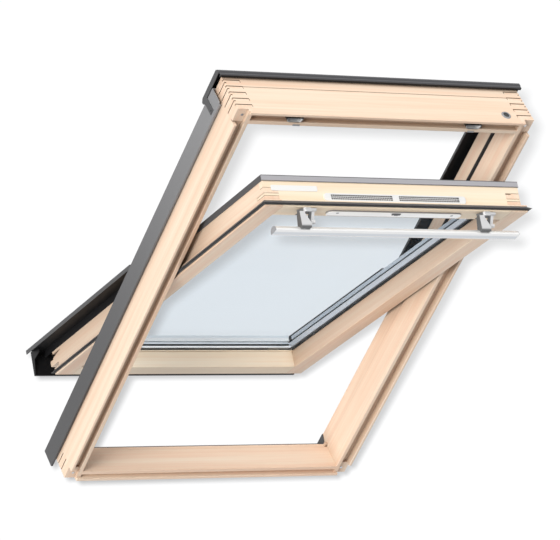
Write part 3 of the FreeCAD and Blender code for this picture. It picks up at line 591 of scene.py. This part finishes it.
@dataclass
class FrameTimber:
    """The four members of the fixed frame, in millimetres."""

    width: float = 780.0
    height: float = 1180.0
    kerf_depth: float = 5.0
    kerf_starts: Span = (8.0, 20.0)
    kerf_end: float = 103.3
    floor_cut: float = 0.5
    skin: float = 0.7
    # Painted shade for the insides of the kerfs.
    kerf_shade: Colour = (0.215, 0.140, 0.085)
    spread: float = 0.37
    jamb_shade: float = 0.75
    end_shades: tuple[float, float] = (0.70, 0.08)

    def kerfs(self) -> Zones:
        """Painted shade on the kerf walls below the surface of the comb joints."""
        half = self.width / 2
        cut = self.kerf_depth + self.floor_cut
        top = Zone(
            self.kerf_shade, (0.0, half - self.skin), (self.kerf_starts[0], self.kerf_end),
            (self.height - cut, self.height - self.skin))
        side = Zone(
            self.kerf_shade, (half - cut, half - self.skin), (self.kerf_starts[1], self.kerf_end),
            (self.skin, self.height - self.skin))
        return top, side

    def dress(self) -> None:
        """Give each member its own run of grain."""
        zones = self.kerfs()
        for order, node in enumerate(pair("frame_jamb")):
            shift = (self.spread * order, self.spread, 0.0)
            finish = Pine("pine_" + node, Run.UP, shift=shift, zones=zones, shade_depth=self.jamb_shade)
            dress(node, finish.material())
        for order, node in enumerate(("frame_head", "frame_sill")):
            shift = (0.0, self.spread * order, self.spread)
            depth = self.end_shades[order]
            finish = Pine("pine_" + node, Run.ACROSS, shift=shift, zones=zones, shade_depth=depth)
            dress(node, finish.material())


@dataclass
class SashTimber:
    """The four members of the sash, turned to its open position."""

    body_half: float = 336.0
    body_top: float = 532.5
    kerf_depth: float = 1.2
    kerf_start: float = 295.0
    kerf_through: Span = (-25.0, 13.0)
    kerf_length: float = 40.0
    floor_cut: float = 0.1
    skin: float = 0.3
    # Painted shade for the insides of the kerfs.
    kerf_shade: Colour = (0.420, 0.300, 0.190)
    yellow: tuple[Colour, Colour] = ((0.930, 0.810, 0.650), (0.900, 0.720, 0.530))
    spread: float = 0.41
    side_reach: float = 0.10
    side_shade: float = 0.75
    end_shades: tuple[float, float] = (0.22, 0.0)

    def kerfs(self) -> Zones:
        """Painted shade on the kerf walls below the surface of the upper corners."""
        cut = self.kerf_depth + self.floor_cut
        top = Zone(
            self.kerf_shade, (self.kerf_start, self.body_half - self.skin), self.kerf_through,
            (self.body_top - cut, self.body_top - self.skin))
        side = Zone(
            self.kerf_shade, (self.body_half - cut, self.body_half - self.skin), self.kerf_through,
            (self.body_top - self.kerf_length, self.body_top - self.skin))
        return top, side

    def dress(self) -> None:
        """Give each member its own run of grain."""
        zones = self.kerfs()
        for order, node in enumerate(pair("sash_side_rail")):
            shift = (self.spread * order, self.spread, 0.0)
            finish = Pine("pine_" + node, Run.UP, Carrier.SASH, shift, zones,
                          shade_reach=self.side_reach, shade_depth=self.side_shade)
            dress(node, finish.material())
        for order, node in enumerate(("sash_top_rail", "sash_bottom_rail")):
            shift = (0.0, self.spread * order, self.spread)
            depth = self.end_shades[order]
            finish = Pine("pine_" + node, Run.ACROSS, Carrier.SASH, shift, zones, *self.yellow,
                          shade_depth=depth)
            dress(node, finish.material())


@dataclass
class Covers:
    """The coated sheet metal outside, in millimetres."""

    half_width: float = 386.0
    inner_edge: float = 326.0
    depth: float = 122.0
    lower_top: float = 31.0
    room_side: float = -80.0
    bottom: Span = (-612.0, -400.0)
    side_skin: float = 1.1
    front_skin: float = 1.2
    strip_level: Span = (532.9, 545.0)
    hood_half: float = 397.6
    hood_top: float = 1192.0
    inside: Colour = (0.010, 0.010, 0.011)
    front: Colour = (0.055, 0.055, 0.060)
    line: Colour = (0.150, 0.150, 0.160)
    pale: Colour = (0.400, 0.395, 0.420)
    sash_grey: Colour = (0.085, 0.085, 0.090)
    # Painted reflection: the outer sheet grows lighter towards the top.
    painted_reflection: Zone = Zone((0.32, 0.32, 0.33), up=(900.0, 9000.0), blend=700.0)
    glass_rim: Zone = Zone((0.80, 0.84, 0.88), (0.0, 299.6), (24.8, 32.7), (-493.8, -491.5))

    def dress(self) -> None:
        """Give every cover its coat, black on the inside."""
        outer = CoatedSheet("coated_sheet", zones=(self.painted_reflection,))
        for node in (*pair("side_cladding"), "sill_cladding"):
            dress(node, outer.material())
        edge = self.half_width - self.side_skin
        inner = self.inner_edge + 0.3
        upper = Zone(self.inside, (inner, edge), (0.0, self.depth - self.front_skin))
        for node in pair("upper_cover"):
            dress(node, CoatedSheet("coated_" + node, zones=(upper,)).material())
        lower = Zone(self.inside, (0.0, edge), (self.room_side, self.lower_top - self.front_skin))
        for node in pair("lower_cover"):
            dress(node, CoatedSheet("coated_" + node, Carrier.SASH, (lower,)).material())
        low, high = self.bottom
        bottom = Zone(
            self.inside, None, (self.room_side, self.lower_top + 0.2), (low + self.front_skin, high))
        zones = (bottom, self.glass_rim)
        dress("bottom_cover", CoatedSheet("coated_bottom_cover", Carrier.SASH, zones).material())
        for node in pair("sash_side_cladding"):
            side = CoatedSheet("coated_" + node, Carrier.SASH, colour=self.sash_grey)
            dress(node, side.material())
        dress("top_cladding", CoatedSheet("coated_top_strip", Carrier.SASH, self._strip()).material())
        dress("head_hood", CoatedSheet("coated_hood", zones=self._hood()).material())

    def _strip(self) -> Zones:
        """Pale upstand of the sash's top sheet with a folded line along it."""
        return (
            Zone(self.pale, through=(0.0, 24.9), up=self.strip_level),
            Zone(self.line, through=(11.0, 13.6), up=self.strip_level),
        )

    def _hood(self) -> Zones:
        """Dark front flange with painted highlights along two folds, black inside, and a small hole in
        each tab.
        """
        across, outer, top = (0.0, self.hood_half), self.depth, self.hood_top
        return (
            Zone(self.front, across, (outer - 24.0, outer - 0.4), (1150.0, top)),
            # Painted highlights along the two folds at the top.
            Zone(self.line, across, (outer - 9.0, outer - 7.4), (1183.0, top)),
            Zone(self.line, across, (outer - 18.0, outer - 16.6), (1188.8, top)),
            Zone(self.inside, across, (outer - 60.0, outer - self.front_skin), (1000.0, 1188.8)),
            Zone(self.inside, (398.0, 401.0), (71.7, 75.7), (1104.9, 1108.9), 0.6),
        )


@dataclass
class Glazing:
    """The sealed glass unit and the gaskets."""

    dark: Colour = (0.02, 0.022, 0.025)
    bottom_run: Span = (-505.0, -480.0)
    seal_run: Span = (-500.0, -485.0)
    side_run: Span = (-476.0, 500.0)

    def dress(self) -> None:
        """Dress panes, spacer and gaskets."""
        glass = Glass("clear_glass").material()
        for node in ("inner_pane", "outer_pane"):
            dress(node, glass)
        spacer = Metal("spacer_strip", (0.72, 0.74, 0.78), 0.35, metallic=0.55, zones=self._bands())
        dress("glass_spacer", spacer.material())
        pale = (Zone((0.92, 0.78, 0.60), (0.0, 299.0), (-10.0, -6.9), self.seal_run),)
        dress("glazing_seal_room", Rubber("glazing_rubber", Carrier.SASH, zones=pale).material())
        dress("glazing_seal_outer", Rubber("outer_rubber", Carrier.SASH, zones=self._seal()).material())
        rubber = Rubber("sash_rubber", Carrier.SASH, (0.075, 0.075, 0.078), (0.125, 0.125, 0.130))
        dress("sash_gasket", rubber.material())
        for node in pair("jamb_gasket"):
            dress(node, Rubber("rubber_" + node).material())

    def _bands(self) -> Zones:
        """Dark outer edge of the spacer, and the white, black and clear bands of its bottom run."""
        return (
            Zone(self.dark, through=(10.2, 13.0)),
            Zone((0.78, 0.82, 0.86), (0.0, 291.0), (3.3, 13.0), self.bottom_run),
            Zone(self.dark, (0.0, 291.5), (2.4, 7.8), self.bottom_run),
            Zone((1.0, 1.0, 1.0), (0.0, 291.5), (-3.0, 2.4), self.bottom_run),
        )

    def _seal(self) -> Zones:
        """The outer seal is silver grey along its sides and white at the bottom."""
        through = (15.0, 26.0)
        return (
            Zone((0.70, 0.74, 0.79), (0.0, 299.6), through, self.side_run, 0.3),
            Zone((0.98, 0.98, 0.98), (0.0, 295.5), through, (-500.0, -480.0)),
        )


@dataclass
class Furniture:
    """Control bar, brackets, lock, grille and small parts, in millimetres."""

    levers: tuple[Span, Span] = ((205.0, 226.5), (244.5, 260.0))
    body_top: float = 532.5
    window_start: float = 8.5
    window_end: float = 168.5
    window_near: float = -28.8
    window_far: float = -17.2
    bar_pitch: float = 4.6
    bar_width: float = 0.9
    bar_slant: float = 6.0
    lock_face: float = -55.0
    lock_level: float = 515.4
    screw_places: Span = (-150.0, 150.0)
    cup_places: Span = (241.0, 229.0)
    cup_half: float = 19.5
    keeper_places: Span = (-231.0, 229.0)
    keeper_half: float = 9.0
    zinc: Colour = (0.62, 0.63, 0.66)
    grey: Colour = (0.30, 0.30, 0.31)

    def dress(self) -> None:
        """Dress the fittings."""
        self._dress_bar()
        self._dress_brackets()
        self._dress_lock()
        self._dress_top()
        self._dress_steel()

    def _dress_brackets(self) -> None:
        """Dark castings with a bright lever and a painted highlight along the top."""
        for node, lever in zip(pair("bar_bracket"), self.levers):
            bright = Zone((0.72, 0.72, 0.73), lever, (-110.0, -54.5), blend=1.0)
            # Painted highlight along the top of the casting.
            top_highlight = Zone((0.60, 0.60, 0.61), up=(536.0, 560.0), blend=1.0)
            cast = Metal("cast_" + node, (0.13, 0.132, 0.136), 0.42, metallic=0.3, zones=(bright, top_highlight))
            dress(node, cast.material())

    def _dress_lock(self) -> None:
        """White case with painted shade along its lower and inner edge."""
        # Painted shade along the lower and inner edge of the case.
        edge = (
            Zone(self.grey, up=(500.0, 505.0), blend=1.0),
            Zone(self.grey, through=(-54.2, -50.0), blend=0.3),
        )
        lock = Metal("white_lock", (0.95, 0.95, 0.95), 0.35, metallic=0.6, zones=edge)
        dress("lock_case", lock.material())

    def _dress_top(self) -> None:
        """Grille and bare plate on the sash, strikers with a light grey front that is partly a painted
        highlight, and ring plug in the head.
        """
        depth = (self.window_near - 0.1, self.window_far + 0.1)
        width = (self.window_start - 0.1, self.window_end + 0.1)
        well = Zone((0.025, 0.025, 0.025), width, depth, (532.0, 534.9))
        dress("vent_grille", Plastic("pale_grille", (0.80, 0.80, 0.80), zones=(well,)).material())
        plate = Metal("blank_plate", (0.84, 0.84, 0.83), 0.4, brushing=(0.05, 1, 1), metallic=0.2)
        dress("label_plate", plate.material())
        for node, centre in zip(pair("striker"), self.cup_places):
            across = (centre - self.cup_half, centre + self.cup_half)
            # Light grey front of each striker, partly a painted highlight.
            striker_highlight = Zone((0.62, 0.62, 0.62), across, (-8.4, 5.0), (1154.3, 1164.3))
            black = Plastic("black_" + node, (0.012, 0.012, 0.013), 0.22, Carrier.FRAME, (striker_highlight,))
            dress(node, black.material())
        dish = (Zone((0.02, 0.02, 0.02), (311.8, 326.8), (6.0, 21.0), (1179.9, 1180.9), 0.3),)
        dress("ring_plug", Plastic("grey_plug", self.grey, 0.35, Carrier.FRAME, dish).material())

    def _dress_steel(self) -> None:
        """Zinc plated screws and pivot plates."""
        steel = Metal("zinc_plated_steel", self.zinc, 0.28, Carrier.FRAME).material()
        for node in ("corner_screws", *pair("pivot_frame_plate")):
            dress(node, steel)
        for node in pair("pivot_sash_plate"):
            dress(node, Metal("steel_" + node, self.zinc, 0.28).material())

    def _dress_bar(self) -> None:
        """Anodised bar with painted reflections: a bright crown, a cooler middle and a pale lower edge.
        """
        zones = (
            # Painted reflections: cooler across the middle and pale along the lower edge.
            Zone((0.66, 0.69, 0.73), up=(506.0, 518.0), blend=2.0),
            Zone((0.82, 0.81, 0.81), up=(490.0, 506.0), blend=2.0),
            Zone((0.34, 0.34, 0.35), (319.0, 321.0)),
        )
        bar = Metal(
            "anodised_bar", (0.93, 0.93, 0.93), 0.20, brushing=(0.02, 1, 1), metallic=0.55, zones=zones)
        dress("control_bar", bar.material())

    def build(self) -> None:
        """Model the small parts that the solids leave out."""
        self._grille()
        self._lock()
        self._keepers()

    def _grille(self) -> None:
        """Slanted bars in both windows of the grille, over a dark insect mesh."""
        bars = Piece("grille_bars", Carrier.SASH, "grey_plastic")
        backing = Piece("grille_mesh", Carrier.SASH, "black_plastic")
        count = int((self.window_end - self.window_start) / self.bar_pitch)
        low = self.body_top + 0.4
        top = self.body_top + 2.9
        for side in (-1, 1):
            ends = sorted((side * self.window_start, side * self.window_end))
            backing.block((ends[0] + 0.1, self.window_near, self.body_top),
                          (ends[1] - 0.1, self.window_far, low), 0.1)
            for order in range(1, count):
                x = ends[0] + self.bar_pitch * order
                near = (x, self.window_near - 0.3, top - 0.8)
                far = (x + self.bar_width, self.window_far + 0.3, top)
                bars.block(near, far, 0.15, self.bar_slant)
        bars.finish(Plastic("grille_bar_plastic", (0.60, 0.60, 0.60)).material())
        mesh = Rubber("dark_insect_mesh", Carrier.SASH, (0.02, 0.02, 0.02), (0.04, 0.04, 0.04))
        backing.finish(mesh.material())

    def _lock(self) -> None:
        """Latch in the middle of the lock case and a screw near each end."""
        face, level = self.lock_face, self.lock_level
        latch = Piece("lock_latch", Carrier.SASH, "cast_metal")
        latch.block((-9.0, face - 2.2, level + 2.0), (13.0, face + 0.1, level + 9.0), 1.0)
        latch.block((-3.0, face - 3.4, level + 3.2), (6.0, face - 1.5, level + 7.6), 0.8)
        latch.finish(Metal("dark_latch", (0.16, 0.16, 0.17), 0.35).material())
        screws = Piece("lock_screws", Carrier.SASH, "steel")
        for x in self.screw_places:
            screws.disc((x, face + 0.1, level + 4.0), 3.6, 1.0)
        screws.finish(Metal("screw_steel", (0.45, 0.46, 0.48), 0.3).material())

    def _keepers(self) -> None:
        """Small keeper plates below the strikers."""
        keepers = Piece("striker_keepers", Carrier.FRAME, "steel")
        for x in self.keeper_places:
            near = (x - self.keeper_half, -7.9, 1142.3)
            far = (x + self.keeper_half, -6.9, 1146.8)
            keepers.block(near, far, 0.3)
        steel = Metal("keeper_steel", (0.50, 0.51, 0.53), 0.3, Carrier.FRAME, metallic=0.6)
        keepers.finish(steel.material())


@dataclass
class Studio:
    """Floor, light and camera."""

    camera_place: tuple[float, float, float] = (-4.1352, -5.0222, 5.5111)
    camera_heading: float = 38.9
    camera_elevation: float = 36.74
    camera_roll: float = 26.5
    lens: float = 224.43
    floor_size: float = 60.0
    floor_drop: float = 1.0
    floor_colour: float = 0.25
    floor_level: float = 1.02
    world_strength: float = 0.23
    world_tint: Colour = (0.955, 1.0, 1.06)
    key_tint: Colour = (1.0, 0.985, 0.955)
    front_key: float = 2.5
    front_source: tuple[float, float, float] = (-0.82, -0.36, 0.43)
    front_width: float = 28.0
    top_key: float = 1.95
    top_source: tuple[float, float, float] = (-0.15, 0.20, 0.97)
    top_width: float = 40.0
    shadow_power: float = 10500.0
    shadow_offset: tuple[float, float, float] = (-0.056, 0.052, 0.0)
    shadow_softness: float = 0.05

    def build(self) -> None:
        """Set the stage."""
        floor = self._floor()
        self._world()
        off_floor = self._group("lights_object_only", floor, "EXCLUDE")
        on_floor = self._group("lights_floor_only", floor, "INCLUDE")
        self._sun("front_key_light", self.front_source, self.front_key, self.front_width, off_floor)
        self._sun("top_key_light", self.top_source, self.top_key, self.top_width, off_floor)
        self._shadow_lamp(on_floor)
        self._camera()

    @staticmethod
    def _group(name: str, floor: bpy.types.Object, state: str) -> bpy.types.Collection:
        """A list of what a lamp lights.

        Args:
            name: Name of the list.
            floor: The floor.
            state: INCLUDE to light the floor alone, EXCLUDE to light all but the floor.

        Returns:
            The list as a collection.
        """
        group = bpy.data.collections.new(name)
        group.objects.link(floor)
        group.collection_objects[0].light_linking.link_state = state
        return group

    def _shadow_lamp(self, receivers: bpy.types.Collection) -> None:
        """A lamp just above and left of the camera, so that shadows on the floor fall low and right."""
        lamp = bpy.data.lights.new("floor_light", "POINT")
        lamp.energy = self.shadow_power
        lamp.shadow_soft_size = self.shadow_softness
        holder = bpy.data.objects.new("floor_light", lamp)
        bpy.context.scene.collection.objects.link(holder)
        holder.light_linking.receiver_collection = receivers
        holder.location = self._lamp_place()

    def _facing(self) -> Matrix:
        """How the camera is turned."""
        heading, drop = math.radians(self.camera_heading), math.radians(self.camera_elevation)
        level = Matrix.Rotation(-heading, 3, "Z") @ Matrix.Rotation(math.pi / 2 - drop, 3, "X")
        return level @ Matrix.Rotation(math.radians(self.camera_roll), 3, "Z")

    def _floor(self) -> bpy.types.Object:
        """A white floor under the window that keeps its shadow."""
        low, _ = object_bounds()
        level = low.z - self.floor_drop
        bpy.ops.mesh.primitive_plane_add(size=self.floor_size, location=(0.0, 0.0, level))
        floor = bpy.context.object
        floor.name = "floor"
        shader = Shader("white_floor")
        glow = self._glow(shader, level)
        shader.surface(
            {
                "Base Color": (self.floor_colour, self.floor_colour, self.floor_colour, 1.0),
                "Roughness": 1.0,
                "Specular IOR Level": 0.0,
                "Emission Color": shader.mix(self._seen(shader) * glow, (0.0, 0.0, 0.0), (1.0, 1.0, 1.0)),
                "Emission Strength": 1.0,
            }
        )
        floor.data.materials.append(shader.material)
        floor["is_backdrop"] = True
        return floor

    def _glow(self, shader: Shader, level: float) -> Signal:
        """What the floor adds to its lamp's light, so that it is evenly white outside the shadow.

        Args:
            shader: The floor's material.
            level: Height of the floor.

        Returns:
            The added brightness.
        """
        lamp = self._lamp_place()
        where = shader.add("ShaderNodeTexCoord", result="Object")
        gap = shader.moved(where, (-lamp.x, -lamp.y, level - lamp.z))
        reach = shader.add("ShaderNodeVectorMath", {"operation": "LENGTH"}, {0: gap}, "Value")
        spread = self.shadow_power * self.floor_colour / (4.0 * math.pi ** 2)
        lit = (reach ** -3.0) * (spread * (lamp.z - level))
        return self.floor_level - self.floor_colour * self.world_strength - lit

    def _lamp_place(self) -> Vector:
        """Place of the floor's lamp, just above and left of the camera."""
        return Vector(self.camera_place) + self._facing() @ Vector(self.shadow_offset)

    @staticmethod
    def _seen(shader: Shader) -> Signal:
        """1 for rays that show the background directly, in a reflection or through glass."""
        path = shader.add("ShaderNodeLightPath", result="Is Camera Ray")
        outputs = path.socket.node.outputs
        others = [Signal(shader, outputs[name]) for name in ("Is Glossy Ray", "Is Transmission Ray")]
        return (path + others[0] + others[1]).above(0.5, 0.04)

    def _world(self) -> None:
        """Even light from all round, white where it is seen."""
        world = bpy.data.worlds.new("studio_world")
        bpy.context.scene.world = world
        world.use_nodes = True
        tree = world.node_tree
        tree.nodes.clear()
        output = tree.nodes.new("ShaderNodeOutputWorld")
        back = tree.nodes.new("ShaderNodeBackground")
        path = tree.nodes.new("ShaderNodeLightPath")
        seen: bpy.types.NodeSocket = path.outputs["Is Camera Ray"]
        for name in ("Is Glossy Ray", "Is Transmission Ray"):
            most = tree.nodes.new("ShaderNodeMath")
            most.operation = "MAXIMUM"
            tree.links.new(seen, most.inputs[0])
            tree.links.new(path.outputs[name], most.inputs[1])
            seen = most.outputs[0]
        level = tree.nodes.new("ShaderNodeMix")
        level.data_type = "RGBA"
        level.inputs[6].default_value = (*(self.world_strength * part for part in self.world_tint), 1.0)
        level.inputs[7].default_value = (1.0, 1.0, 1.0, 1.0)
        tree.links.new(seen, level.inputs[0])
        tree.links.new(level.outputs[2], back.inputs["Color"])
        tree.links.new(back.outputs[0], output.inputs["Surface"])

    def _sun(
        self,
        name: str,
        source: tuple[float, float, float],
        strength: float,
        spread: float,
        receivers: bpy.types.Collection,
    ) -> None:
        """A soft distant lamp.

        Args:
            name: Name of the lamp.
            source: Direction it shines from.
            strength: Its strength.
            spread: Width of its disc in degrees.
            receivers: What it lights.
        """
        lamp = bpy.data.lights.new(name, "SUN")
        lamp.energy = strength
        lamp.color = self.key_tint
        lamp.angle = math.radians(spread)
        holder = bpy.data.objects.new(name, lamp)
        bpy.context.scene.collection.objects.link(holder)
        holder.light_linking.receiver_collection = receivers
        holder.rotation_mode = "QUATERNION"
        holder.rotation_quaternion = Vector(source).to_track_quat("Z", "Y")

    def _camera(self) -> None:
        """Camera at the photograph's viewing angle, rolled as it was."""
        data = bpy.data.cameras.new("camera")
        data.sensor_width = 36.0
        data.lens = self.lens
        data.clip_end = 200.0
        camera = bpy.data.objects.new("camera", data)
        bpy.context.scene.collection.objects.link(camera)
        camera.matrix_world = Matrix.Translation(self.camera_place) @ self._facing().to_4x4()
        bpy.context.scene.camera = camera


def main() -> None:
    """Dress the window and set its stage."""
    logging.basicConfig(level=logging.INFO, format="%(message)s")
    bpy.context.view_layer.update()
    furniture = Furniture()
    for assembly in (FrameTimber(), SashTimber(), Covers(), Glazing(), furniture):
        assembly.dress()
        LOG.info("dressed %s", type(assembly).__name__)
    furniture.build()
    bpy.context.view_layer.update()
    Studio().build()
    bpy.context.scene.view_settings.view_transform = "Standard"


if __name__ == "__main__":
    main()
